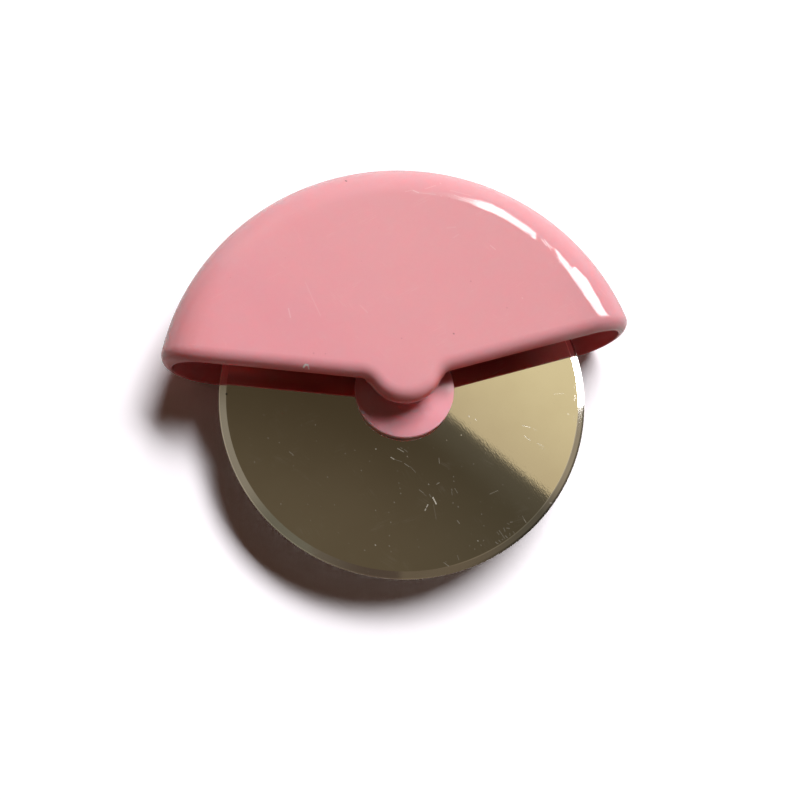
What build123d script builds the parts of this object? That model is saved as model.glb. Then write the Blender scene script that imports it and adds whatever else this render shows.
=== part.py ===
from build123d import *
import os

# Pizza cutter with a fan-shaped palm grip: a disc blade on a plastic hub that turns on a pin inside the grip.
# Millimetres. The cutter lies on its rear face, with +Z up along the wheel's axis, +Y towards the top of the
# grip and +X to the right. The origin is on the wheel's axis, at the surface that the rear face rests on.

# Blade
blade_radius = 45.0
blade_thickness = 1.0
bevel_width = 1.8
cutting_edge_thickness = 0.2

# Hub, two domed flanges that clamp the blade
flange_radius = 12.1
flange_thickness = 2.2
dome_height = 1.8
flange_edge_radius = 0.25
collar_radius = 3.2
collar_height = 3.0
spigot_radius = 4.5
spigot_half_flats = 3.6
spigot_seat_depth = 1.2

# Axle pin and thrust washers
axle_radius = 2.0
axle_seat_depth = 1.0
axle_chamfer = 0.3
boss_radius = 3.5
washer_radius = 3.5
washer_thickness = 0.5

# Grip, two moulded shells with one outline
grip_thickness = 23.0
rim_overhang = 14.75
mouth_angle = 10.5
mouth_drop = 0.45
face_wall = 2.7
rim_wall = 3.2
lip_radius = 3.3
lip_inner_radius = 0.3
lobe_radius = 9.2
lobe_reach = 5.2
lobe_blend_radius = 4.0
lobe_wall = 3.7
lobe_wall_margin = 0.6
seam_depth = 0.15

# Posts, pegs and sockets that line the shells up
post_count = 3
post_first_angle = 30.0
post_radius = 2.8
peg_radius = 1.3
peg_length = 4.0

# Clearances
running_clearance = 0.05
end_float = 0.1
fit_clearance = 0.03

# Heights and radii that follow
half_thickness = grip_thickness / 2
grip_radius = blade_radius + rim_overhang
cavity_radius = grip_radius - rim_wall
cavity_half_height = half_thickness - face_wall
lobe_centre_y = lobe_radius - lobe_reach
lobe_half_height = half_thickness - lobe_wall
flange_inner_face = blade_thickness / 2
flange_outer_face = flange_inner_face + flange_thickness
dome_top = flange_outer_face + dome_height
dome_radius = (flange_radius**2 + dome_height**2) / (2 * dome_height)
collar_face = flange_outer_face + collar_height
washer_face = collar_face + end_float
boss_face = washer_face + washer_thickness
axle_seat = cavity_half_height + axle_seat_depth
bore_radius = axle_radius + running_clearance
seat_radius = axle_radius + fit_clearance
post_circle = (blade_radius + cavity_radius) / 2

# The wheel's middle plane, and an upright plane through the axis for turned sections
mid_plane = Plane.XY.offset(half_thickness)
section_plane = Plane(origin=(0, 0, half_thickness), x_dir=(1, 0, 0), z_dir=(0, -1, 0))


def level(height):
    """The plane at a height above the wheel's middle plane."""
    return mid_plane.offset(height)


def full_round_section(reach, half_height):
    """Half the section of a disc with flat faces and a full-round rim."""
    with BuildSketch() as section:
        with BuildLine():
            Line((0, -half_height), (reach - half_height, -half_height))
            ThreePointArc((reach - half_height, -half_height), (reach, 0), (reach - half_height, half_height))
            Line((reach - half_height, half_height), (0, half_height))
            Line((0, half_height), (0, -half_height))
        make_face()
    return section.sketch


def flange_section(side):
    """Half the section of the hub's domed flange, in front of the blade (side 1) or behind it (side -1)."""
    rim_corner = (flange_radius, side * flange_outer_face)
    half_way = dome_top - dome_radius + (dome_radius**2 - (flange_radius / 2) ** 2) ** 0.5
    with BuildSketch() as section:
        with BuildLine():
            Line((0, side * dome_top), (0, side * flange_inner_face))
            Line((0, side * flange_inner_face), (flange_radius, side * flange_inner_face))
            Line((flange_radius, side * flange_inner_face), rim_corner)
            ThreePointArc(rim_corner, (flange_radius / 2, side * half_way), (0, side * dome_top))
        make_face()
        fillet(section.vertices().sort_by_distance(rim_corner)[0], flange_edge_radius)
    return section.sketch


def keyed_outline(clearance):
    """The spigot's outline, a circle with two flats."""
    with BuildSketch() as outline:
        Circle(spigot_radius + clearance)
        Rectangle(2 * (spigot_radius + clearance), 2 * (spigot_half_flats + clearance), mode=Mode.INTERSECT)
    return outline.sketch


def post_places():
    """The places of the posts, spread evenly over the grip."""
    spread = 180 - 2 * post_first_angle
    return PolarLocations(post_circle, post_count, post_first_angle, spread, endpoint=True)


def posts_and_boss(side):
    """The posts and axle boss of the front shell (side 1) or the rear one (side -1), rooted in its walls."""
    with BuildPart() as inside:
        with BuildSketch(mid_plane):
            with post_places():
                Circle(post_radius)
        extrude(amount=side * half_thickness)
        with BuildSketch(level(side * boss_face)):
            Circle(boss_radius)
        extrude(amount=side * half_thickness)
        with BuildSketch(section_plane):
            add(full_round_section(grip_radius - rim_wall / 2, half_thickness - face_wall / 2))
        revolve(axis=Axis.Z, mode=Mode.INTERSECT)
    return inside.part


def mouth_edges(body):
    """The edges along the mouth, on the faces that stand square to the mouth's outline."""
    upright = body.faces().filter_by(lambda face: abs(face.normal_at().Z) < 0.01)
    flat_or_round = upright.filter_by(lambda face: face.geom_type in (GeomType.PLANE, GeomType.CYLINDER))
    return flat_or_round.edges().filter_by(Axis.Z, reverse=True)


def cavity_rim(body):
    """The edges where the cavity's faces end, round the mouth, without the upright steps beside the lobes."""
    reach = cavity_half_height + lip_inner_radius / 2
    low = body.faces().filter_by(
        lambda face: face.bounding_box().max.Z < half_thickness + reach
        and face.bounding_box().min.Z > half_thickness - reach
    )
    inside = low.filter_by(lambda face: abs(face.normal_at().Z) > 0.01 or face.center().Y > lobe_centre_y)
    edges = [edge for face in inside for edge in face.edges()]
    rim = ShapeList(edge for edge in edges if sum(edge.is_same(other) for other in edges) == 1)
    beside_lobe = rim.filter_by(lambda edge: abs(edge.center().X) < 2 * lobe_radius)
    steps = beside_lobe.filter_by(lambda edge: edge.bounding_box().size.Z > fit_clearance)
    return ShapeList(edge for edge in rim if not any(edge.is_same(step) for step in steps))


# Fan outline: both mouth edges rise from just below the axis to the corners, with a round lobe between them
with BuildSketch() as fan_outline:
    with BuildLine():
        beyond_rim = CenterArc((0, -mouth_drop), 2 * grip_radius, mouth_angle, 180 - 2 * mouth_angle)
        Line((0, -mouth_drop), beyond_rim @ 0)
        Line((0, -mouth_drop), beyond_rim @ 1)
    make_face()
    with Locations((0, lobe_centre_y)):
        Circle(lobe_radius)
    lobe_corners = fan_outline.vertices().sort_by_distance((0, 0, 0))[:2]
    fillet(lobe_corners, lobe_blend_radius)

# Hollow inside the grip, shallower behind the two lobes
with BuildPart() as cavity:
    with BuildSketch(section_plane):
        add(full_round_section(cavity_radius, cavity_half_height))
    revolve(axis=Axis.Z)
    for side in (1, -1):
        with BuildSketch(level(side * lobe_half_height)):
            with Locations((0, lobe_centre_y)):
                Circle(lobe_radius + lobe_wall_margin)
        extrude(amount=side * half_thickness, mode=Mode.SUBTRACT)

# Whole grip, hollow and open at the mouth, before it is parted into its two shells
with BuildPart() as grip:
    with BuildSketch(section_plane):
        add(full_round_section(grip_radius, half_thickness))
    revolve(axis=Axis.Z)
    extrude(fan_outline.sketch, amount=grip_thickness, mode=Mode.INTERSECT)
    fillet(mouth_edges(grip), lip_radius)

    # Cavity, which cuts into the rounded lip, with the mouth's inner edge just broken
    add(cavity.part, mode=Mode.SUBTRACT)
    fillet(cavity_rim(grip), lip_inner_radius)

    # Fine parting line round the rim
    with BuildSketch(section_plane):
        with Locations((grip_radius, 0)):
            RegularPolygon(seam_depth, 4)
    revolve(axis=Axis.Z, mode=Mode.SUBTRACT)

# Front shell, with its boss, the axle's blind seat, and a socket in each post
with BuildPart() as front_shell:
    add(grip.part)
    split(bisect_by=mid_plane, keep=Keep.TOP)
    add(posts_and_boss(1))
    with BuildSketch(level(boss_face)):
        Circle(seat_radius)
    extrude(amount=axle_seat - boss_face, mode=Mode.SUBTRACT)
    with BuildSketch(mid_plane):
        with post_places():
            Circle(peg_radius + fit_clearance)
    extrude(amount=peg_length + fit_clearance, mode=Mode.SUBTRACT)

# Rear shell, with its boss, the axle's blind seat, and a peg on each post
with BuildPart() as rear_shell:
    add(grip.part)
    split(bisect_by=mid_plane, keep=Keep.BOTTOM)
    add(posts_and_boss(-1))
    with BuildSketch(level(-boss_face)):
        Circle(seat_radius)
    extrude(amount=boss_face - axle_seat, mode=Mode.SUBTRACT)
    with BuildSketch(mid_plane):
        with post_places():
            Circle(peg_radius)
    extrude(amount=peg_length)

# Disc blade, ground to a thin edge from both faces, with a keyed hole
with BuildPart() as cutting_blade:
    with BuildSketch(section_plane):
        with BuildLine():
            Polyline(
                (0, -blade_thickness / 2),
                (blade_radius - bevel_width, -blade_thickness / 2),
                (blade_radius, -cutting_edge_thickness / 2),
                (blade_radius, cutting_edge_thickness / 2),
                (blade_radius - bevel_width, blade_thickness / 2),
                (0, blade_thickness / 2),
                close=True,
            )
        make_face()
    revolve(axis=Axis.Z)
    with BuildSketch(mid_plane):
        add(keyed_outline(fit_clearance))
    extrude(amount=blade_thickness, both=True, mode=Mode.SUBTRACT)

# Front hub flange, with the spigot that carries the blade
with BuildPart() as front_hub:
    with BuildSketch(section_plane):
        add(flange_section(1))
    revolve(axis=Axis.Z)
    with BuildSketch(level(flange_outer_face)):
        Circle(collar_radius)
    extrude(amount=collar_height)
    with BuildSketch(level(flange_inner_face)):
        add(keyed_outline(0))
    extrude(amount=-(blade_thickness + spigot_seat_depth))
    with BuildSketch(mid_plane):
        Circle(bore_radius)
    extrude(amount=collar_face, both=True, mode=Mode.SUBTRACT)

# Rear hub flange, with the seat that the spigot is pressed into
with BuildPart() as rear_hub:
    with BuildSketch(section_plane):
        add(flange_section(-1))
    revolve(axis=Axis.Z)
    with BuildSketch(level(-flange_outer_face)):
        Circle(collar_radius)
    extrude(amount=-collar_height)
    with BuildSketch(level(-flange_inner_face)):
        add(keyed_outline(fit_clearance))
    extrude(amount=-(spigot_seat_depth + fit_clearance), mode=Mode.SUBTRACT)
    with BuildSketch(mid_plane):
        Circle(bore_radius)
    extrude(amount=collar_face, both=True, mode=Mode.SUBTRACT)

# Axle pin, held at both ends in the blind seats
with BuildPart() as axle_pin:
    with BuildSketch(mid_plane):
        Circle(axle_radius)
    extrude(amount=axle_seat - fit_clearance, both=True)
    chamfer(axle_pin.edges().filter_by(GeomType.CIRCLE), axle_chamfer)

# Thrust washers, one against each boss
with BuildPart() as front_washer:
    with BuildSketch(level(washer_face)):
        Circle(washer_radius)
        Circle(bore_radius, mode=Mode.SUBTRACT)
    extrude(amount=washer_thickness)

with BuildPart() as rear_washer:
    with BuildSketch(level(-washer_face)):
        Circle(washer_radius)
        Circle(bore_radius, mode=Mode.SUBTRACT)
    extrude(amount=-washer_thickness)

pieces = {
    "front_shell": front_shell,
    "rear_shell": rear_shell,
    "cutting_blade": cutting_blade,
    "front_hub": front_hub,
    "rear_hub": rear_hub,
    "axle_pin": axle_pin,
    "front_washer": front_washer,
    "rear_washer": rear_washer,
}
os.makedirs("parts", exist_ok=True)
for name, piece in pieces.items():
    piece.part.label = name
    export_step(piece.part, f"parts/{name}.step")
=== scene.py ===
import math
from functools import cached_property

import bpy
from mathutils import Matrix, Vector

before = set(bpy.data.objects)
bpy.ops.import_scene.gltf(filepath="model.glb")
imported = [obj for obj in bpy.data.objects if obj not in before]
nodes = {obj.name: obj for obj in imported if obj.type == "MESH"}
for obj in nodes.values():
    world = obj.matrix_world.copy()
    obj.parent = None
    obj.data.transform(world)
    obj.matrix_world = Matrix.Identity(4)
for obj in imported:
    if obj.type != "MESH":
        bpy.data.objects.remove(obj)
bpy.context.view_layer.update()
scene = bpy.context.scene
MM = 0.001

# Shapes of the part that the materials follow, in millimetres in the frame
WHEEL_HEIGHT = 11.5         # the blade's middle plane, which is the middle of the grip's thickness
RIM_CENTRE = 48.25          # radius at which the grip's flat faces turn into its round rim
LOBE_CENTRE = (0, 4.0, 0)   # middle of the lobes over the hub
MOUTH_SLOPE = 0.1853        # how the mouth's edges rise towards the sides
BEVEL_START = 43.2          # radius at which the blade's bevel starts
# The darker band at the end of the bevel is a painted dark reflection.
EDGE_START = 44.5           # radius at which the darker band at the end of the bevel starts

# Colours, linear
# Painted shade: the grip's pink darkens from left to right, and more at both ends.
PINK_LEFT = (0.862, 0.410, 0.452)
PINK_RIGHT = (0.818, 0.402, 0.438)
PINK_LEFT_END_SHADE = (0.830, 0.350, 0.380)
PINK_RIGHT_END_SHADE = (0.720, 0.335, 0.375)
PINK_DEEP = (0.810, 0.350, 0.400)
# Painted shade: the deep red of the grip's lip where it lies in shade.
PINK_LIP_SHADE = (0.765, 0.212, 0.216)
# Painted shade inside the hollow: deeper reds round the axle, darkest to its right, and redder pink towards the ends.
PINK_INSIDE_SHADE = (1.000, 0.380, 0.420)
PINK_AXLE_SHADE = (0.690, 0.125, 0.120)
PINK_AXLE_RIGHT_SHADE = (0.440, 0.055, 0.050)
# Paler pink: random grain, and painted light on the lip's right corner. Worn pink: scuffs and scratches, and a
# painted highlight line at that corner.
PINK_PALE = (0.890, 0.520, 0.550)
PINK_WORN_AND_HIGHLIGHT = (0.930, 0.680, 0.700)
# The hub's pink is paler than the grip's: painted light that lifts it where the lobe shades it.
HUB_LEFT = (0.950, 0.436, 0.495)
HUB_RIGHT = (0.955, 0.440, 0.500)
# Painted shade on the hub's side, darker towards the blade.
HUB_SIDE_SHADE = (0.600, 0.170, 0.170)
DUST = (0.550, 0.220, 0.230)
# Near white: the nick in the grip's lip, with a painted glint.
CHIP_WITH_GLINT = (0.970, 0.900, 0.890)
FLECK = (0.160, 0.060, 0.060)
STEEL = (0.640, 0.620, 0.585)
STEEL_WARM = (0.610, 0.585, 0.545)
STEEL_SCRATCH = (0.800, 0.770, 0.700)
STEEL_PIT = (0.030, 0.025, 0.020)
# Painted on the steel: a dark reflection near the cutting edge on the right, a white highlight where the bevel starts
# on the right, and a pale highlight at the cutting edge on the left.
STEEL_DARK_REFLECTION = (0.100, 0.095, 0.090)
STEEL_CREST_HIGHLIGHT = (1.000, 0.990, 0.950)
STEEL_EDGE_HIGHLIGHT = (0.950, 0.910, 0.850)
PIN_DARK = (0.460, 0.455, 0.450)
PIN_PALE = (0.620, 0.615, 0.610)
ACETAL_DARK = (0.780, 0.770, 0.720)
ACETAL_PALE = (0.880, 0.870, 0.830)

# Ends of a smooth step, and the span that holds most of a noise's values
FADE = (1.0, 0.0)
MOST = (0.3, 0.7)

# How marks are drawn: shares of a stroke's width where it fades, the smallest speck, and what breaks up the hairlines
STROKE_FADE = (0.15, 0.55)
SMALLEST_SPECK = 0.35
HAIRLINE_SHARPNESS = 40.0
PATCH_TURN, PATCH_LENGTH, PATCH_SPREAD, PATCH_FADE = 31, 9.0, 7.0, 0.12


class Graph:
    """A node tree written as nested calls. Sockets and plain values are both taken as inputs."""

    def __init__(self, tree):
        self.tree = tree

    @cached_property
    def metres(self):
        """Object coordinates."""
        return self.node("ShaderNodeTexCoord").outputs["Object"]

    @cached_property
    def place(self):
        """Object coordinates in millimetres, so that the scales below are real sizes."""
        return self.vector("SCALE", self.metres, scale=1 / MM)

    @cached_property
    def flat(self):
        """The same, seen from the front."""
        return self.vector("MULTIPLY", self.place, (1, 1, 0))

    @cached_property
    def radius(self):
        """Distance from the wheel's axis."""
        return self.vector("LENGTH", self.flat)

    @cached_property
    def axes(self):
        """X, Y and Z of the place."""
        made = self.node("ShaderNodeSeparateXYZ")
        self.put(made.inputs[0], self.place)
        return made.outputs

    def put(self, socket, value):
        if isinstance(value, bpy.types.NodeSocket):
            self.tree.links.new(value, socket)
        elif socket.type == "RGBA":
            socket.default_value = (*value, 1)
        else:
            socket.default_value = value

    def node(self, kind, **settings):
        made = self.tree.nodes.new(kind)
        for key, value in settings.items():
            setattr(made, key, value)
        return made

    def math(self, operation, a, b=0.0, clamp=False):
        made = self.node("ShaderNodeMath", operation=operation, use_clamp=clamp)
        self.put(made.inputs[0], a)
        self.put(made.inputs[1], b)
        return made.outputs[0]

    def times(self, first, *others):
        for other in others:
            first = self.math("MULTIPLY", first, other)
        return first

    def largest(self, first, *others):
        for other in others:
            first = self.math("MAXIMUM", first, other)
        return first

    def vector(self, operation, a, b=(0, 0, 0), scale=1.0):
        made = self.node("ShaderNodeVectorMath", operation=operation)
        self.put(made.inputs[0], a)
        if operation == "SCALE":
            self.put(made.inputs["Scale"], scale)
        elif operation != "LENGTH":
            self.put(made.inputs[1], b)
        return made.outputs["Value" if operation in ("LENGTH", "DOT_PRODUCT") else "Vector"]

    def fit(self, value, span, to=(0.0, 1.0)):
        """A smooth step over a span of the value, from one number to another."""
        made = self.node("ShaderNodeMapRange", interpolation_type="SMOOTHSTEP")
        for socket, x in zip(made.inputs, (value, *span, *to)):
            self.put(socket, x)
        return made.outputs[0]

    def mix(self, share, a, b, kind="RGBA"):
        """a where share is 0, b where it is 1."""
        made = self.node("ShaderNodeMix", data_type=kind)
        for name, value in (("Factor", share), ("A", a), ("B", b)):
            self.put(made.inputs[name], value)
        return made.outputs["Result"]

    def noise(self, vector, scale=1.0, detail=2.0, roughness=0.5, distortion=0.0):
        made = self.node("ShaderNodeTexNoise")
        for name, value in (("Vector", vector), ("Scale", scale), ("Detail", detail),
                            ("Roughness", roughness), ("Distortion", distortion)):
            self.put(made.inputs[name], value)
        return made.outputs["Fac"]

    def turned(self, angle, length, spread):
        """Flat coordinates turned by an angle, in units of length along it and spread across it."""
        made = self.node("ShaderNodeMapping", vector_type="TEXTURE")
        self.put(made.inputs["Vector"], self.flat)
        made.inputs["Rotation"].default_value = (0, 0, math.radians(angle))
        made.inputs["Scale"].default_value = (length, spread, 1)
        return made.outputs[0]

    def stroke(self, x0, y0, x1, y1, width, strength):
        """A straight mark from one place to another, seen from the front, fading out at about half its width."""
        start = Vector((x0, y0, 0))
        run = Vector((x1, y1, 0)) - start
        away = self.vector("SUBTRACT", self.flat, tuple(start))
        way = self.vector("DOT_PRODUCT", away, tuple(run / max(run.length_squared, 1e-6)))
        way = self.math("MINIMUM", self.math("MAXIMUM", way, 0.0), 1.0)
        nearest = self.vector("SCALE", tuple(run), scale=way)
        distance = self.vector("LENGTH", self.vector("SUBTRACT", away, nearest))
        return self.fit(distance, [width * share for share in STROKE_FADE], (strength, 0.0))

    def strokes(self, marks):
        return self.largest(*(self.stroke(*mark) for mark in marks))

    def specks(self, vector, apart, radius, share, dimensions="3D"):
        """Small round specks, one in each cell of a loose grid, kept in only a share of the cells."""
        made = self.node("ShaderNodeTexVoronoi", voronoi_dimensions=dimensions)
        self.put(made.inputs["Vector"], vector)
        made.inputs["Scale"].default_value = 1 / apart
        chance = self.node("ShaderNodeSeparateColor")
        self.put(chance.inputs[0], made.outputs["Color"])
        kept, size, strength = chance.outputs
        kept = self.math("GREATER_THAN", kept, 1 - share)
        reach = self.times(self.fit(size, (0.0, 1.0), (SMALLEST_SPECK, 1.0)), radius / apart)
        dot = self.math("SUBTRACT", 1.0, self.math("DIVIDE", made.outputs["Distance"], reach), clamp=True)
        return self.times(self.fit(dot, (0.0, 0.5)), self.fit(strength, (0.0, 1.0), (SMALLEST_SPECK, 1.0)), kept)

    def hairlines(self, angle, length, spread, density):
        """Fine straight scratches in one direction, broken up so that each has an end."""
        lines = self.noise(self.turned(angle, length, spread), detail=1.0, distortion=0.1)
        off = self.math("ABSOLUTE", self.math("SUBTRACT", lines, 0.5))
        line = self.math("SUBTRACT", 1.0, self.times(off, HAIRLINE_SHARPNESS), clamp=True)
        patch = self.noise(self.turned(angle + PATCH_TURN, PATCH_LENGTH, PATCH_SPREAD))
        return self.times(line, self.fit(patch, (1 - density, 1 - density + PATCH_FADE)))

    def bump(self, height, depth_mm, normal=None):
        made = self.node("ShaderNodeBump")
        made.inputs["Strength"].default_value = 1.0
        made.inputs["Distance"].default_value = depth_mm * MM
        self.put(made.inputs["Height"], height)
        if normal is not None:
            self.put(made.inputs["Normal"], normal)
        return made.outputs[0]


def new_material(name, kind=None):
    """A material with one shader, and the graph that its nodes are added to."""
    material = bpy.data.materials.new(name)
    material.use_nodes = True
    g = Graph(material.node_tree)
    shader = g.tree.nodes["Principled BSDF"]
    if kind:
        g.tree.nodes.remove(shader)
        shader = g.node(kind)
        g.tree.links.new(shader.outputs[0], g.tree.nodes["Material Output"].inputs[0])
    return material, g, shader


# Marks on the front of the grip and of the blade: from x, y to x, y, then width, in millimetres, and strength
GRIP_MARKS = [
    (-26.13, 19.3, -25.79, 17.0, 0.35, 0.6), (-21.73, 25.64, -20.35, 21.42, 0.3, 0.22),
    (-20.35, 21.42, -18.77, 16.97, 0.3, 0.3), (-9.18, 18.79, -7.68, 16.89, 0.4, 0.25),
    (6.48, 48.57, 7.8, 47.8, 0.4, 0.9), (8.2, 47.77, 11.93, 47.08, 0.3, 0.6),
    (9.51, 48.88, 12.27, 49.79, 0.35, 0.45), (13.57, 50.65, 13.68, 50.5, 0.3, 0.8),
    (13.21, 46.6, 13.34, 46.45, 0.3, 0.6), (15.19, 46.48, 15.35, 46.33, 0.3, 0.6),
    (16.67, 46.61, 20.67, 44.41, 0.35, 0.7), (17.53, 45.4, 20.66, 44.13, 0.3, 0.6),
    (18.84, 45.92, 21.93, 44.68, 0.3, 0.7), (15.85, 48.07, 20.72, 46.36, 0.35, 0.3),
    (4.53, 48.38, 6.32, 48.67, 0.4, 0.35), (13.86, 37.66, 15.87, 37.74, 0.5, 0.18),
    (15.11, 34.96, 16.4, 35.74, 0.4, 0.2), (23.9, 32.17, 24.94, 31.04, 0.35, 0.5),
    (29.74, 17.85, 29.86, 17.66, 0.35, 0.5),
    (36.82, 33.04, 37.79, 31.21, 0.35, 0.8), (37.57, 32.91, 38.74, 29.86, 0.35, 0.7),
    (38.14, 31.76, 38.97, 30.61, 0.3, 0.6), (16.04, 46.27, 21.07, 44.37, 1.6, 0.25),
    (6.45, 48.06, 16.09, 46.66, 1.4, 0.14),
]
GRIP_NICK = [
    (-23.56, 4.89, -23.07, 5.31, 0.55, 1.0), (-23.07, 5.31, -22.52, 5.15, 0.5, 1.0),
    (-22.52, 5.15, -22.38, 4.45, 0.4, 0.8),
]
GRIP_FLECKS = [(-10.05, 53.49, -9.81, 53.25, 0.5, 0.8), (12.11, 10.04, 12.19, 9.96, 0.5, 0.5)]
BLADE_MARKS = [
    (4.25, -26.63, 4.84, -28.21, 0.42, 1.0), (2.05, -29.49, 2.26, -29.15, 0.4, 0.8),
    (2.52, -28.71, 2.83, -28.24, 0.42, 0.8), (4.18, -28.29, 4.44, -31.75, 0.2, 0.18),
    (17.85, -27.05, 19.88, -26.37, 0.22, 0.32), (28.07, -11.07, 29.97, -11.74, 0.30, 0.91),
    (30.67, -12.05, 31.34, -12.61, 0.21, 0.61), (28.19, -13.72, 29.38, -14.95, 0.30, 0.91),
    (31.02, -15.77, 32.47, -16.71, 0.26, 0.73), (31.45, -16.87, 32.75, -17.46, 0.16, 0.49),
    (37.12, -3.75, 39.47, -3.84, 0.21, 0.68), (15.16, -7.55, 15.33, -7.82, 0.34, 1.1),
    (16.68, -8.54, 16.81, -8.7, 0.40, 1.05), (42.69, -1.89, 42.36, -2.78, 0.19, 0.73),
    (42.27, -4.59, 42.27, -5.36, 0.34, 1.08), (41.85, -5.48, 41.93, -5.9, 0.29, 0.98),
    (39.68, -9, 40.02, -9.39, 0.27, 0.79), (41.29, -9.65, 41, -11.15, 0.18, 0.49),
    (32.05, -30.41, 32.53, -30.5, 0.3, 1.0),
    (-2.99, -14.11, -1.59, -15.09, 0.26, 0.6), (-0.92, -16.16, -0.75, -16.39, 0.26, 0.4),
    (-4.76, -16.16, -4.08, -16.66, 0.34, 0.75), (-4.08, -16.66, -2.26, -17.46, 0.2, 0.25),
    (-1.65, -17.92, -0.66, -18.79, 0.24, 0.45), (6.7, -17.31, 6.67, -18.65, 0.24, 0.38),
    (9.04, -13.1, 9.1, -13.2, 0.28, 0.45), (12.76, -12.1, 12.82, -12.2, 0.3, 0.6),
    (9.69, -22.08, 9.7, -22.2, 0.28, 0.4), (9.66, -23.17, 9.67, -23.29, 0.26, 0.4),
    (9.66, -24.97, 10.18, -26.09, 0.22, 0.35), (5.77, -23.3, 5.92, -23.41, 0.26, 0.35),
    (13.59, -37.61, 13.67, -37.71, 0.34, 0.7), (14.19, -38.68, 14.25, -38.78, 0.26, 0.4),
    (9.36, -32.58, 9.8, -33.25, 0.24, 0.45), (20.1, -35.24, 20.31, -36.1, 0.24, 0.35),
    (20.27, -37.1, 20.63, -37.64, 0.24, 0.45), (17.72, -38.32, 18.25, -38.81, 0.22, 0.4),
    (18.54, -37.96, 18.94, -38.46, 0.22, 0.35), (22.18, -36.29, 22.47, -36.79, 0.2, 0.3),
    (5.12, -41.86, 6.16, -42.78, 0.22, 0.45), (8.41, -40.55, 8.71, -41.61, 0.2, 0.3),
    (-22.19, -6.6, -22.13, -6.71, 0.28, 0.4), (-33.65, -8.88, -33.58, -8.99, 0.28, 0.4),
    (-28.73, -12.71, -27.82, -13.64, 0.22, 0.4), (-37.07, -14.33, -37.08, -14.67, 0.24, 0.3),
    (-15.6, -14.26, -15.56, -14.34, 0.26, 0.35), (-8.22, -13.76, -8.16, -13.86, 0.34, 0.7),
    (-12.12, -18.65, -12.05, -18.75, 0.28, 0.4), (-20.23, -19.52, -20.17, -19.62, 0.28, 0.4),
    (-9.57, -28.33, -9.49, -28.51, 0.26, 0.35), (-10.35, -36.34, -10.27, -36.46, 0.38, 0.8),
    (-7.18, -36.84, -7.03, -36.99, 0.26, 0.4),
    (18.93, -35.73, 19.49, -36.75, 0.24, 0.3), (19.49, -36.75, 20.04, -37.77, 0.24, 0.3),
    (18.39, -36.07, 18.8, -36.69, 0.24, 0.25), (20.86, -35.38, 21.39, -35.52, 0.4, 0.25),
    (21.89, -34.08, 22.29, -34.08, 0.4, 0.25), (21.37, -36.73, 21.34, -37.13, 0.24, 0.3),
    (21.12, -34.28, 21.48, -34.51, 0.35, 0.18), (24.9, -32.87, 25.19, -33.68, 0.2, 0.25),
    (25.19, -33.68, 25.57, -34.5, 0.24, 0.45), (15.45, -34.34, 15.49, -34.38, 0.35, 0.25),
    (12.63, -39.47, 12.66, -39.53, 0.35, 0.25), (19.43, -37.9, 19.48, -37.96, 0.4, 0.25),
    (-2.18, -14, -1.91, -14.2, 0.24, 0.4), (-1.42, -14.48, -0.68, -15.19, 0.22, 0.3),
    (-0.35, -18.84, 0.76, -20.28, 0.2, 0.3), (5.47, -23.58, 6.14, -23.24, 0.24, 0.45),
    (3.54, -23.35, 3.59, -23.47, 0.36, 0.5), (8.93, -25.04, 8.91, -25.44, 0.24, 0.4),
    (8.85, -25.66, 8.87, -26.47, 0.22, 0.3), (1.18, -24.52, 2.07, -25.34, 0.24, 0.35),
    (2.16, -25.52, 2.67, -26.13, 0.2, 0.22), (3.5, -25.81, 3.78, -26.41, 0.28, 0.3),
    (-5.04, -26.91, -4.94, -27.04, 0.36, 0.35), (9.95, -29.29, 9.98, -29.41, 0.36, 0.35),
    (-3.36, -23.71, -3.26, -23.83, 0.36, 0.2),
]
BLADE_PIT = [(-43.03, 2.87, -43.0, 2.84, 0.6, 1.0)]


# Spans of the plastic's colour changes, in millimetres; all but the front, skin, scuffed and shoulder spans place
# painted light and shade.
# Reach is the distance from the disc in the middle of the grip: the faces' walls lie between 8.8 and 11.5.
SIDE_TO_SIDE = (-50.0, 50.0)
RIGHT_END, LEFT_END = (36.0, 56.0), (-54.0, -38.0)
LIP_INSIDE, LIP_OUTSIDE, LIP_RIGHT = (8.2, 8.8), (9.2, 11.3), (32.0, 46.0)
CORNER_INSIDE, CORNER_PALE, CORNER_HIGHLIGHT, CORNER_RIGHT = (8.9, 9.0), (9.2, 11.0), (9.15, 9.4), (34.0, 44.0)
AXLE_OUTWARD, AXLE_TO_RIGHT = (26.0, 54.0), (0.0, 22.0)
MOUTH_INWARD, MOUTH_TO_LEFT, MOUTH_OUTWARD = (1.2, 3.8), (-24.0, -14.0), (44.0, 48.0)
HOLLOW, LOBE_EDGE = (8.75, 9.0), (9.4, 9.9)
GRIP_FRONT, GRIP_SKIN = (WHEEL_HEIGHT - 0.5, WHEEL_HEIGHT + 0.5), (8.95, 9.3)
SCUFFED_HEIGHT, HUB_SIDE_SHADE_SPAN = (5.0, 9.5), (1.4, 2.5)
SHOULDER_START, SHOULDER_END = (48.0, 50.5), (53.0, 57.0)

# How strongly dust and scratches show on the plastic, and how much rougher a scratch is
DUST_STRENGTH = 0.35
GRIP_SCUFFS, HUB_SCUFFS = 0.16, 0.08
WORN_STRENGTH = 0.8
WORN_ROUGHNESS = 0.3


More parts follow.
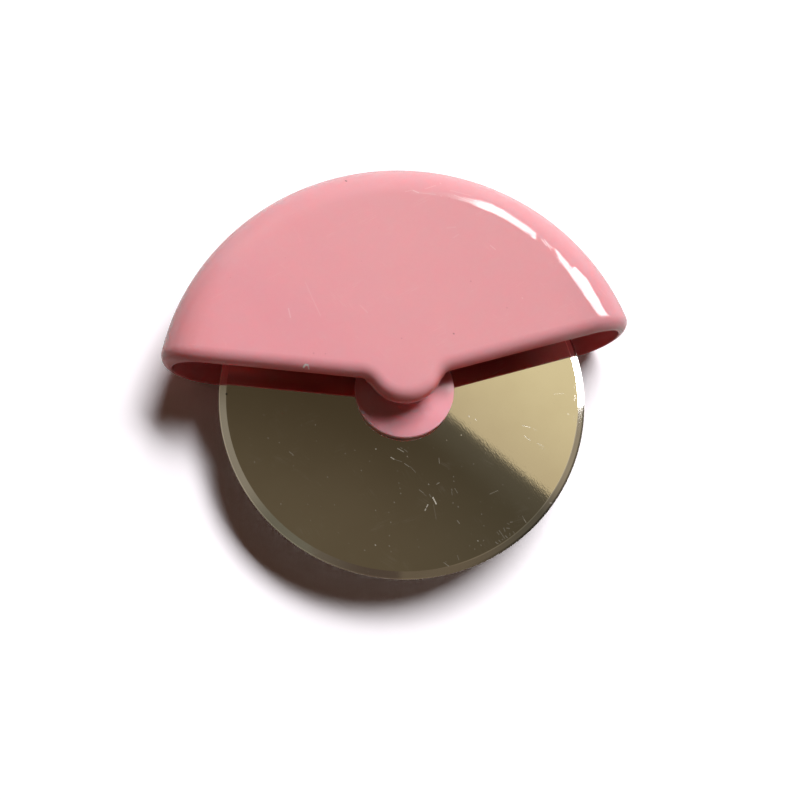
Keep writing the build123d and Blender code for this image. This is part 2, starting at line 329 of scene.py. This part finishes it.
def grip_painted_light_and_shade(g, colour, reach):
    """Painted light and shade on the grip: deep red shade on its lip, a paler patch and a highlight line at the lip's
    right corner, and darker reds inside the hollow, round the axle and by the mouth on the left.
    """
    x = g.axes["X"]
    # Painted shade on the lip.
    lip = g.times(g.fit(reach, LIP_OUTSIDE, FADE), g.fit(reach, LIP_INSIDE), g.fit(x, LIP_RIGHT, FADE))
    colour = g.mix(lip, colour, PINK_LIP_SHADE)
    # Painted light at the lip's right corner: a paler patch and a highlight line.
    corner = g.times(g.fit(reach, CORNER_INSIDE), g.fit(x, CORNER_RIGHT))
    colour = g.mix(g.times(corner, g.fit(reach, CORNER_PALE, (0.6, 0.0))), colour, PINK_PALE)
    colour = g.mix(g.times(corner, g.fit(reach, CORNER_HIGHLIGHT, (0.8, 0.0))), colour, PINK_WORN_AND_HIGHLIGHT)
    # Painted shade inside the hollow, round the axle and by the mouth on the left.
    axle_shade = g.mix(g.fit(x, AXLE_TO_RIGHT), PINK_AXLE_SHADE, PINK_AXLE_RIGHT_SHADE)
    inside = g.mix(g.fit(g.radius, AXLE_OUTWARD), axle_shade, PINK_INSIDE_SHADE)
    mouth = g.math("SUBTRACT", g.axes["Y"], g.times(g.math("ABSOLUTE", x), MOUTH_SLOPE))
    shaded = g.times(g.fit(mouth, MOUTH_INWARD, (0.6, 0.0)), g.fit(x, MOUTH_TO_LEFT, FADE),
                     g.fit(g.radius, MOUTH_OUTWARD, FADE))
    inside = g.mix(shaded, inside, PINK_AXLE_RIGHT_SHADE)
    lobe = g.vector("LENGTH", g.vector("SUBTRACT", g.flat, LOBE_CENTRE))
    return g.mix(g.times(g.fit(reach, HOLLOW, FADE), g.fit(lobe, LOBE_EDGE)), colour, inside)


def plastic(name, left, right, roughness, marked):
    """Moulded pink plastic: faint colour drift, handling haze, hairline scratches, specks and the grip's marks, with
    painted shade darker to the right and at the ends, painted light and shade at the grip's lip and inside it, and
    painted shade on the hub's side.
    """
    material, g, shader = new_material(name)
    shader.inputs["IOR"].default_value = 1.38
    shader.inputs["Specular IOR Level"].default_value = 0.4 if marked else 0.25
    shader.inputs["Subsurface Weight"].default_value = 1.0
    shader.inputs["Subsurface Radius"].default_value = (1.9 if marked else 1.4, 0.5, 0.45)
    shader.inputs["Subsurface Scale"].default_value = MM
    x = g.axes["X"]
    height = g.math("ABSOLUTE", g.math("SUBTRACT", g.axes["Z"], WHEEL_HEIGHT))
    # Painted shade: darker from left to right, and darker at both ends.
    colour = g.mix(g.fit(x, SIDE_TO_SIDE), left, right)
    colour = g.mix(g.fit(x, RIGHT_END), colour, PINK_RIGHT_END_SHADE)
    colour = g.mix(g.fit(x, LEFT_END, FADE), colour, PINK_LEFT_END_SHADE)
    drift = g.noise(g.place, scale=0.035, detail=3.0, roughness=0.55)
    colour = g.mix(g.fit(drift, MOST, (0.2, 0.0)), colour, PINK_DEEP)
    grain = g.noise(g.place, scale=1.6, detail=3.0, roughness=0.6)
    colour = g.mix(g.fit(grain, (0.42, 0.75), (0.0, 0.05)), colour, PINK_PALE)
    fine = g.largest(g.hairlines(angle=24, length=15, spread=0.55, density=0.45),
                     g.hairlines(angle=-57, length=13, spread=0.6, density=0.43))
    dust = g.times(g.specks(g.place, apart=2.6, radius=0.3, share=0.22), DUST_STRENGTH)
    if marked:
        outward = g.math("MAXIMUM", g.math("SUBTRACT", g.radius, RIM_CENTRE), 0.0)
        reach = g.math("SQRT", g.math("ADD", g.times(height, height), g.times(outward, outward)))
        front = g.times(g.fit(g.axes["Z"], GRIP_FRONT), g.fit(reach, GRIP_SKIN))
        colour = g.mix(dust, grip_painted_light_and_shade(g, colour, reach), DUST)
        worn = g.largest(g.times(fine, g.fit(height, SCUFFED_HEIGHT, (0.0, GRIP_SCUFFS))),
                         g.times(g.strokes(GRIP_MARKS), front))
        colour = g.mix(g.times(worn, WORN_STRENGTH), colour, PINK_WORN_AND_HIGHLIGHT)
        # The nick in the lip, with its near-white glint painted.
        chip_with_glint = g.times(g.strokes(GRIP_NICK), front)
        colour = g.mix(chip_with_glint, colour, CHIP_WITH_GLINT)
        colour = g.mix(g.times(g.strokes(GRIP_FLECKS), front), colour, FLECK)
        worn = g.largest(worn, chip_with_glint)
    else:
        # Painted shade on the hub's side, darker towards the blade, with dust over it.
        colour = g.mix(dust, g.mix(g.fit(height, HUB_SIDE_SHADE_SPAN, FADE), colour, HUB_SIDE_SHADE), DUST)
        worn = g.times(fine, HUB_SCUFFS)
        colour = g.mix(g.times(worn, WORN_STRENGTH), colour, PINK_WORN_AND_HIGHLIGHT)
    g.put(shader.inputs["Base Color"], colour)
    haze = g.noise(g.place, scale=0.09, detail=4.0, roughness=0.6, distortion=0.4)
    haze = g.fit(haze, (0.35, 0.7), roughness)
    g.put(shader.inputs["Roughness"], g.math("ADD", haze, g.times(worn, WORN_ROUGHNESS)))
    ripple = g.noise(g.place, scale=0.40)
    shoulder = g.times(g.fit(g.radius, SHOULDER_START), g.fit(g.radius, SHOULDER_END, FADE))
    normal = g.bump(g.times(ripple, g.fit(shoulder, (0.0, 1.0), (0.15, 1.0))), depth_mm=0.022)
    g.put(shader.inputs["Normal"], g.bump(g.times(worn, -1.0), depth_mm=0.004, normal=normal))
    return material


# Spans of the blade's shades and of its painted reflection and highlights, in millimetres: heights for its front, X
# for a band on one side, and radii
BEVEL_RISE = (BEVEL_START - 0.03, BEVEL_START + 0.03)
BLADE_FRONT = (WHEEL_HEIGHT - 0.1, WHEEL_HEIGHT + 0.1)
# Spans of the painted dark reflection near the cutting edge (right), the painted highlight where the bevel starts
# (right) and the painted highlight at the cutting edge (left).
EDGE_RISE, EDGE_RIGHT = (EDGE_START - 0.15, EDGE_START + 0.15), (8.0, 26.0)
CREST_RISE, CREST_FALL = (BEVEL_START - 0.1, BEVEL_START), (BEVEL_START + 0.12, BEVEL_START + 0.3)
CREST_RIGHT = (2.0, 16.0)
EDGE_HIGHLIGHT_RISE, EDGE_HIGHLIGHT_LEFT = (44.68, 44.80), (-6.0, 8.0)
LINES_END = (44.85, 44.95)
EDGE_WALL = (44.93, 44.97)

# How strongly the blade's marks show, how much duller and rougher they are, and its finish
HAIRLINES, SPECKS, MARKS = 0.04, 0.15, 0.5
SCRATCH_DULLNESS, SCRATCH_ROUGHNESS = 0.75, 0.45
POLISHED, GROUND, BLUNT = (0.017, 0.023), (0.035, 0.09), (0.0, 0.3)
BRUSHING_HEIGHT, GRINDING_HEIGHT = 1.4, 1.6
RINGS_PER_MM, BREAKS_PER_RADIAN = 7.0, 6.0


def blade_steel():
    """Polished stainless sheet with fine brushing, hairline scratches and specks, and a ring-ground bevel, with a
    painted dark reflection and painted highlights along the bevel.
    """
    material, g, shader = new_material("polished_blade_steel")
    x = g.axes["X"]
    bevel = g.fit(g.radius, BEVEL_RISE)
    front = g.fit(g.axes["Z"], BLADE_FRONT)
    cloud = g.noise(g.place, scale=0.05, detail=3.0, roughness=0.6)
    fine = g.largest(g.hairlines(angle=12, length=16, spread=0.5, density=0.42),
                     g.hairlines(angle=-63, length=12, spread=0.55, density=0.42),
                     g.hairlines(angle=-36, length=18, spread=0.5, density=0.42))
    dust = g.specks(g.flat, apart=3.1, radius=0.22, share=0.3, dimensions="2D")
    worn = g.largest(g.times(fine, HAIRLINES), g.times(dust, SPECKS), g.times(g.strokes(BLADE_MARKS), front, MARKS))
    pit = g.times(g.strokes(BLADE_PIT), front)
    # Painted dark reflection and highlights along the bevel, each on one side only.
    edge = g.times(g.fit(g.radius, EDGE_RISE), g.fit(x, EDGE_RIGHT, (0.0, 0.7)))
    crest_highlight = g.times(g.fit(g.radius, CREST_RISE), g.fit(g.radius, CREST_FALL, FADE), g.fit(x, CREST_RIGHT, (0.0, 0.8)))
    edge_highlight = g.times(g.fit(g.radius, EDGE_HIGHLIGHT_RISE), g.fit(x, EDGE_HIGHLIGHT_LEFT, (0.8, 0.0)))
    colour = g.mix(g.fit(cloud, MOST), STEEL_WARM, STEEL)
    for share, shade in ((worn, STEEL_SCRATCH), (pit, STEEL_PIT), (edge, STEEL_DARK_REFLECTION), (crest_highlight, STEEL_CREST_HIGHLIGHT),
                         (edge_highlight, STEEL_EDGE_HIGHLIGHT)):
        colour = g.mix(share, colour, shade)
    g.put(shader.inputs["Base Color"], colour)
    g.put(shader.inputs["Metallic"], g.math("SUBTRACT", 1.0, g.times(worn, SCRATCH_DULLNESS)))
    angle = g.math("ARCTAN2", g.axes["Y"], x)
    ring = g.node("ShaderNodeCombineXYZ")
    g.put(ring.inputs["X"], g.times(g.radius, RINGS_PER_MM))
    g.put(ring.inputs["Y"], g.times(angle, BREAKS_PER_RADIAN))
    grinding = g.noise(ring.outputs[0], detail=3.0, roughness=0.6)
    polished = g.math("ADD", g.fit(cloud, (0.3, 0.75), POLISHED), g.times(worn, SCRATCH_ROUGHNESS))
    ground = g.math("ADD", g.fit(grinding, MOST, GROUND), g.fit(g.radius, EDGE_WALL, BLUNT))
    g.put(shader.inputs["Roughness"], g.mix(bevel, polished, ground, "FLOAT"))
    brushing = g.noise(g.turned(angle=-66, length=1.0, spread=0.36), roughness=0.6)
    lines = g.mix(bevel, g.times(brushing, BRUSHING_HEIGHT), g.times(grinding, GRINDING_HEIGHT), "FLOAT")
    normal = g.bump(g.times(lines, g.fit(g.radius, LINES_END, FADE)), depth_mm=0.0012)
    dents = g.times(g.largest(worn, pit), -1.0)
    g.put(shader.inputs["Normal"], g.bump(dents, depth_mm=0.002, normal=normal))
    return material


def pin_steel():
    """Drawn steel pin with fine rings along its length."""
    material, g, shader = new_material("drawn_pin_steel")
    shader.inputs["Metallic"].default_value = 1.0
    rings = g.noise(g.vector("MULTIPLY", g.place, (0.3, 0.3, 9.0)))
    g.put(shader.inputs["Base Color"], g.mix(rings, PIN_DARK, PIN_PALE))
    g.put(shader.inputs["Roughness"], g.fit(rings, MOST, (0.2, 0.34)))
    g.put(shader.inputs["Normal"], g.bump(rings, depth_mm=0.003))
    return material


def washer_plastic():
    """Natural acetal, slightly mottled."""
    material, g, shader = new_material("natural_acetal")
    mottle = g.noise(g.place, scale=0.7, detail=3.0, roughness=0.6)
    g.put(shader.inputs["Base Color"], g.mix(mottle, ACETAL_DARK, ACETAL_PALE))
    g.put(shader.inputs["Roughness"], g.fit(mottle, MOST, (0.3, 0.45)))
    g.put(shader.inputs["Normal"], g.bump(g.noise(g.place, scale=4.0), depth_mm=0.004))
    return material


def dress(names, material):
    for name in names:
        nodes[name].data.materials.clear()
        nodes[name].data.materials.append(material)


dress(["front_shell", "rear_shell"], plastic("glossy_pink_plastic", PINK_LEFT, PINK_RIGHT, (0.016, 0.04), True))
dress(["front_hub", "rear_hub"], plastic("satin_pink_plastic", HUB_LEFT, HUB_RIGHT, (0.11, 0.17), False))
dress(["cutting_blade"], blade_steel())
dress(["axle_pin"], pin_steel())
dress(["front_washer", "rear_washer"], washer_plastic())


# Set, in metres: a white floor that keeps the shadow, and a room of cards that only reflections see
FLOOR = 4.0
FLOOR_BOUNCE = (0.42, 0.32, 0.285)
FLOOR_SEEN = (("Is Glossy Ray", (0.78, 0.77, 0.76)), ("Is Transmission Ray", (1.18, 1.18, 1.18)),
              ("Is Camera Ray", (1.18, 1.14, 1.195)))
WALL_SHADE = (0.17, 0.145, 0.12)


def box(x0, y0, x1, y1):
    return [(x0, y0), (x1, y0), (x1, y1), (x0, y1)]


def sheet_object(name, corners, material):
    mesh = bpy.data.meshes.new(name)
    mesh.from_pydata(corners, [], [list(range(len(corners)))])
    made = bpy.data.objects.new(name, mesh)
    scene.collection.objects.link(made)
    mesh.materials.append(material)
    return made


def floor_material():
    """Diffuse, in one colour for the light that it throws back and in paler ones where it is seen."""
    material, g, shader = new_material("white_floor", "ShaderNodeBsdfDiffuse")
    path = g.node("ShaderNodeLightPath")
    colour = FLOOR_BOUNCE
    for ray, seen in FLOOR_SEEN:
        colour = g.mix(path.outputs[ray], colour, seen)
    g.put(shader.inputs["Color"], colour)
    return material


sheet_object("floor", [(x, y, 0) for x, y in box(-FLOOR, -FLOOR, FLOOR, FLOOR)], floor_material())


def card(name, corners, colour, strength=1.0, blends=()):
    """A flat card that only glossy rays see. Each blend goes from place to place in the room towards a colour."""
    material, g, shader = new_material(name, "ShaderNodeEmission")
    for start, end, shade, most in blends:
        run = Vector(end) - Vector(start)
        away = g.vector("SUBTRACT", g.metres, start)
        share = g.vector("DOT_PRODUCT", away, tuple(run / run.length_squared))
        colour = g.mix(g.fit(share, (0.0, 1.0), (0.0, most)), colour, shade)
    g.put(shader.inputs["Color"], colour)
    shader.inputs["Strength"].default_value = strength
    made = sheet_object(name, corners, material)
    made.visible_camera = False
    made.visible_diffuse = False
    made.visible_transmission = False
    made.visible_volume_scatter = False
    made.visible_shadow = False


# The room that the steel shows: a dim ceiling, and a tan wall with a window at 45 degrees between +X and +Y
CEILING = 2.4
WALL = 0.667
WALL_ENDS = (-2.6, 3.2)
WALL_MIDDLE = 0.85
LEFT = -3.0
CEILING_LEFT = -0.8
BACK = -1.9
PROUD = 0.007
LOWER = 0.01
ACROSS = Vector((-math.sqrt(0.5), math.sqrt(0.5), 0))
OUT = Vector((math.sqrt(0.5), math.sqrt(0.5), 0))


def on_wall(s, z, nearer=0.0):
    return tuple(OUT * (WALL - nearer) + ACROSS * s + Vector((0, 0, z)))


def on_ceiling(x, y, lower=0.0):
    return (x, y, CEILING - lower)


def pane(name, outline, colour, strength):
    card(name, [on_wall(s, z, PROUD) for s, z in outline], colour, strength)


card("ceiling", [on_ceiling(CEILING_LEFT, BACK), on_ceiling(2.86, BACK), on_ceiling(CEILING_LEFT, 1.76)],
     (0.155, 0.120, 0.072), blends=[
         (on_ceiling(0.0444, 0.1116), on_ceiling(0.2516, 0.6324), (0.080, 0.058, 0.031), 1.0),
         (on_ceiling(-0.05, 0), on_ceiling(0.75, 0), (0.090, 0.076, 0.047), 0.8),
         (on_ceiling(0.36, 0.36), on_ceiling(0.45, 0.45), (0.125, 0.106, 0.070), 1.0),
         (on_ceiling(0.446, 0.446), on_ceiling(0.472, 0.472), (0.215, 0.184, 0.120), 1.0)])
card("ceiling_left", [on_ceiling(LEFT, BACK), on_ceiling(CEILING_LEFT, BACK), on_ceiling(CEILING_LEFT, 1.76),
                      on_ceiling(LEFT, 3.96)],
     (0.205, 0.190, 0.140), blends=[
         (on_ceiling(-1.15, -0.45), on_ceiling(-1.42, 0.0), (0.355, 0.312, 0.24), 1.0),
         (on_ceiling(-1.66, 0.65), on_ceiling(-1.68, 1.15), (0.21, 0.175, 0.12), 1.0)])
card("ceiling_flag", [on_ceiling(x, y, LOWER) for x, y in box(CEILING_LEFT, -1.7, 0.01, -0.5)],
     (0.185, 0.155, 0.115), blends=[
         (on_ceiling(-0.8, -1.0), on_ceiling(-0.25, -1.0), (0.122, 0.088, 0.066), 1.0)])
card("ceiling_near", [on_ceiling(x, y, LOWER) for x, y in box(0.01, -1.7, 1.9, -0.4)],
     (0.195, 0.152, 0.102), blends=[
         (on_ceiling(0.5, -1.0), on_ceiling(1.4, -1.0), (0.128, 0.112, 0.080), 1.0)])
card("wall", [on_wall(s, z) for s, z in box(WALL_ENDS[0], WALL_MIDDLE, WALL_ENDS[1], CEILING)],
     (1.02, 0.87, 0.515), blends=[
         (on_wall(0, 1.4), on_wall(0, CEILING), (0.777, 0.640, 0.383), 1.0),
         (on_wall(-0.32, 1.5), on_wall(-0.50, 1.5), (0.43, 0.365, 0.265), 1.0),
         (on_wall(-0.80, 1.5), on_wall(-1.45, 1.5), (0.16, 0.14, 0.105), 1.0)])
card("wall_low", [on_wall(s, z) for s, z in box(WALL_ENDS[0], 0.0, WALL_ENDS[1], WALL_MIDDLE)], (0.42, 0.36, 0.27))
card("wall_left", [(LEFT, y, z) for y, z in box(BACK, 0, 4.0, CEILING)], WALL_SHADE)
card("wall_back", [(x, BACK, z) for x, z in box(LEFT, 0, 2.9, CEILING)], WALL_SHADE)

# Daylight panes on that wall, and a paler strip of wall beside them
SKY = (1.0, 0.995, 0.98)
SKY_STRENGTH = 32.0
pane("pane_left", [(0.283, 0.962), (0.244, 1.024), (0.199, 1.030), (0.158, 1.045), (0.138, 1.014), (0.122, 0.882),
                   (0.105, 0.659), (0.123, 0.534), (0.151, 0.570), (0.191, 0.477), (0.213, 0.471), (0.236, 0.500),
                   (0.259, 0.568), (0.279, 0.787)], SKY, SKY_STRENGTH)
pane("pane_middle", [(0.066, 0.952), (0.039, 0.964), (0.033, 1.051), (-0.046, 0.980), (-0.094, 0.930),
                     (-0.145, 0.850), (-0.210, 0.800), (-0.205, 0.416), (-0.163, 0.439), (-0.140, 0.444),
                     (-0.084, 0.379), (-0.033, 0.444), (-0.004, 0.648), (0.016, 0.582), (0.042, 0.549)],
     SKY, SKY_STRENGTH)
pane("pane_right", [(-0.22, 0.95), (-0.22, 0.45), (-0.415, 0.45), (-0.415, 0.95)], SKY, 18.0)
pane("pale_strip", [(0.53, 0.44), (0.755, 0.52), (0.755, 1.45), (0.53, 1.23)], (1.0, 0.95, 0.88), 1.2)

# Daylight through the window, as a wide soft lamp
KEY_AZIMUTH, KEY_HEIGHT, KEY_ROLL = math.radians(48.6), math.radians(47.2), math.radians(-9.0)
KEY_HALF_WIDTH, KEY_HALF_HEIGHT = math.radians(17.5), math.radians(7.2)
KEY_DISTANCE = 12.0
KEY_LEVEL = 0.98
towards = Vector((math.cos(KEY_HEIGHT) * math.cos(KEY_AZIMUTH), math.cos(KEY_HEIGHT) * math.sin(KEY_AZIMUTH),
                  math.sin(KEY_HEIGHT)))
level = Vector((-math.sin(KEY_AZIMUTH), math.cos(KEY_AZIMUTH), 0))
wide = level * math.cos(KEY_ROLL) + towards.cross(level) * math.sin(KEY_ROLL)
tall = towards.cross(wide)
window = bpy.data.lights.new("key", "AREA")
window.shape = "RECTANGLE"
window.size = 2 * KEY_DISTANCE * math.tan(KEY_HALF_WIDTH)
window.size_y = 2 * KEY_DISTANCE * math.tan(KEY_HALF_HEIGHT)
window.energy = KEY_LEVEL * (math.pi * KEY_DISTANCE) ** 2 / math.sin(KEY_HEIGHT)
key = bpy.data.objects.new("key", window)
key.matrix_world = Matrix.Translation(towards * KEY_DISTANCE) @ Matrix((wide, tall, towards)).transposed().to_4x4()
key.visible_glossy = False
scene.collection.objects.link(key)

# A world that is white where it is seen, and elsewhere a weak warm fill
WARM_FILL = (0.047, 0.026, 0.017)
WHITE = (1, 1, 1)
world = bpy.data.worlds.new("white_room")
world.use_nodes = True
scene.world = world
air = Graph(world.node_tree)
path = air.node("ShaderNodeLightPath")
seen = air.largest(*(path.outputs[ray] for ray in ("Is Camera Ray", "Is Glossy Ray", "Is Transmission Ray")))
air.put(world.node_tree.nodes["Background"].inputs["Color"], air.mix(seen, WARM_FILL, WHITE))

# Camera at the photograph's viewing angle
lens = bpy.data.cameras.new("camera")
lens.sensor_fit = "HORIZONTAL"
lens.sensor_width = 36.0
lens.lens = 33.46
lens.clip_start = 0.01
camera = bpy.data.objects.new("camera", lens)
camera.location = (-0.015316, -0.049878, 0.187075)
camera.rotation_euler = [math.radians(a) for a in (15.5798, -3.0661, -5.6004)]
scene.collection.objects.link(camera)
scene.camera = camera
scene.view_settings.view_transform = "Standard"
